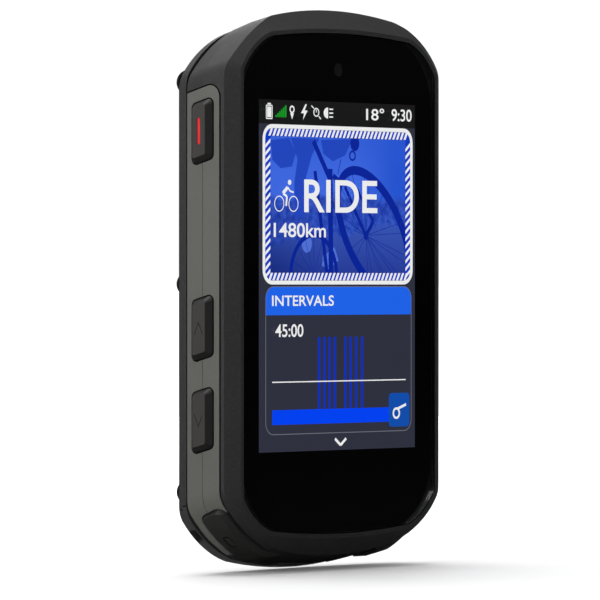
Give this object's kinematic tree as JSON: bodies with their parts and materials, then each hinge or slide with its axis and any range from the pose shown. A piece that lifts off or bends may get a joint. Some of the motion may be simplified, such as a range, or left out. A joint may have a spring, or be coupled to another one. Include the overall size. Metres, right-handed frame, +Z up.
{
  "type": "cycling computer",
  "caption": "Handlebar cycling computer: glass-fronted casing with sprung push buttons, a quarter-turn boss on its back and a hinged rubber cap over its charging port.",
  "frame": {"origin": "centre of the end face of the quarter-turn boss on the back", "axes": "+Z up the screen, -Y out of the screen, +X to the right of the screen"},
  "size_m": [0.0562, 0.0166, 0.0902],
  "materials": {
    "casing": "fine spark-eroded grain",
    "band": "very fine satin texture",
    "cover_glass": "polished, printed black behind its border",
    "adhesive": "black foam tape",
    "clear_adhesive": "clear",
    "display": "polished",
    "backlight": "pressed tray",
    "flex": "amber film",
    "sensor": "smoked lens",
    "chassis": "die cast, blasted",
    "circuit_board": "solder resist",
    "chip": "moulded epoxy",
    "shield": "tinned sheet",
    "antenna": "fired ceramic",
    "battery": "laminated foil",
    "foam": "open-cell foam",
    "connector": "natural nylon",
    "vent": "breathable membrane",
    "seal": "moulded silicone",
    "screw": "black oxide",
    "inner_screw": "zinc plated",
    "mount": "glass-filled nylon",
    "button": "satin",
    "red_inlay": "gloss",
    "cap_rubber": "fine matt rubber",
    "port_steel": "nickel plated",
    "port_tongue": "moulded",
    "switch_body": "stainless cover",
    "switch_plunger": "moulded nylon"
  },
  "bodies": {
    "casing": {"back_switch": "switch_body", "backlight": "backlight", "battery": "battery", "battery_foam": "foam", "battery_plug": "connector", "board_screws": "inner_screw", "buzzer": "chip", "chassis": "chassis", "chassis_screws": "inner_screw", "cover_glass": "cover_glass", "display_flex": "flex", "display_panel": "display", "down_switch": "switch_body", "front_housing": "casing", "glass_adhesive": "adhesive", "gnss_antenna": "antenna", "lap_button_seal": "seal", "lap_switch": "switch_body", "left_button_seal": "seal", "left_side_band": "band", "light_sensor": "sensor", "main_board": "circuit_board", "optical_adhesive": "clear_adhesive", "perimeter_seal": "seal", "power_button_seal": "seal", "power_switch": "switch_body", "pressure_vent": "vent", "processor": "chip", "processor_shield": "shield", "quarter_turn_insert": "mount", "radio_antenna": "antenna", "radio_shield": "shield", "rear_screws": "screw", "rear_shell": "casing", "right_button_seal": "seal", "right_side_band": "band", "select_switch": "switch_body", "start_button_seal": "seal", "start_switch": "switch_body", "up_switch": "switch_body", "usb_board": "circuit_board", "usb_c_shell": "port_steel", "usb_c_tongue": "port_tongue"},
    "power_button": {"power_button": "button", "power_switch_plunger": "switch_plunger", "power_button_inlay": "red_inlay"},
    "up_button": {"up_button": "button", "up_switch_plunger": "switch_plunger"},
    "down_button": {"down_button": "button", "down_switch_plunger": "switch_plunger"},
    "select_button": {"select_button": "button", "select_switch_plunger": "switch_plunger"},
    "back_button": {"back_button": "button", "back_switch_plunger": "switch_plunger"},
    "lap_button": {"lap_button": "button", "lap_switch_plunger": "switch_plunger"},
    "start_button": {"start_button": "button", "start_switch_plunger": "switch_plunger"},
    "weather_cap": {"weather_cap": "cap_rubber"}
  },
  "joints": [
    {"name": "power_press", "type": "slide", "parent": "casing", "child": "power_button", "axis": [1, 0, 0], "range_m": [0, 0.00035], "stiffness_N_per_m": 1500, "springref_m": -0.0002},
    {"name": "up_press", "type": "slide", "parent": "casing", "child": "up_button", "axis": [1, 0, 0], "range_m": [0, 0.00035], "stiffness_N_per_m": 1500, "springref_m": -0.0002},
    {"name": "down_press", "type": "slide", "parent": "casing", "child": "down_button", "axis": [1, 0, 0], "range_m": [0, 0.00035], "stiffness_N_per_m": 1500, "springref_m": -0.0002},
    {"name": "select_press", "type": "slide", "parent": "casing", "child": "select_button", "axis": [-1, 0, 0], "range_m": [0, 0.00035], "stiffness_N_per_m": 1500, "springref_m": -0.0002},
    {"name": "back_press", "type": "slide", "parent": "casing", "child": "back_button", "axis": [-1, 0, 0], "range_m": [0, 0.00035], "stiffness_N_per_m": 1500, "springref_m": -0.0002},
    {"name": "lap_press", "type": "slide", "parent": "casing", "child": "lap_button", "axis": [0.2924, 0, 0.9563], "range_m": [0, 0.00035], "stiffness_N_per_m": 1500, "springref_m": -0.0002},
    {"name": "start_press", "type": "slide", "parent": "casing", "child": "start_button", "axis": [-0.2924, 0, 0.9563], "range_m": [0, 0.00035], "stiffness_N_per_m": 1500, "springref_m": -0.0002},
    {"name": "cap_hinge", "type": "hinge", "parent": "casing", "child": "weather_cap", "pos_m": [0, -0.004, -0.0361], "axis": [1, 0, 0], "range_deg": [0, 110]}
  ]
}
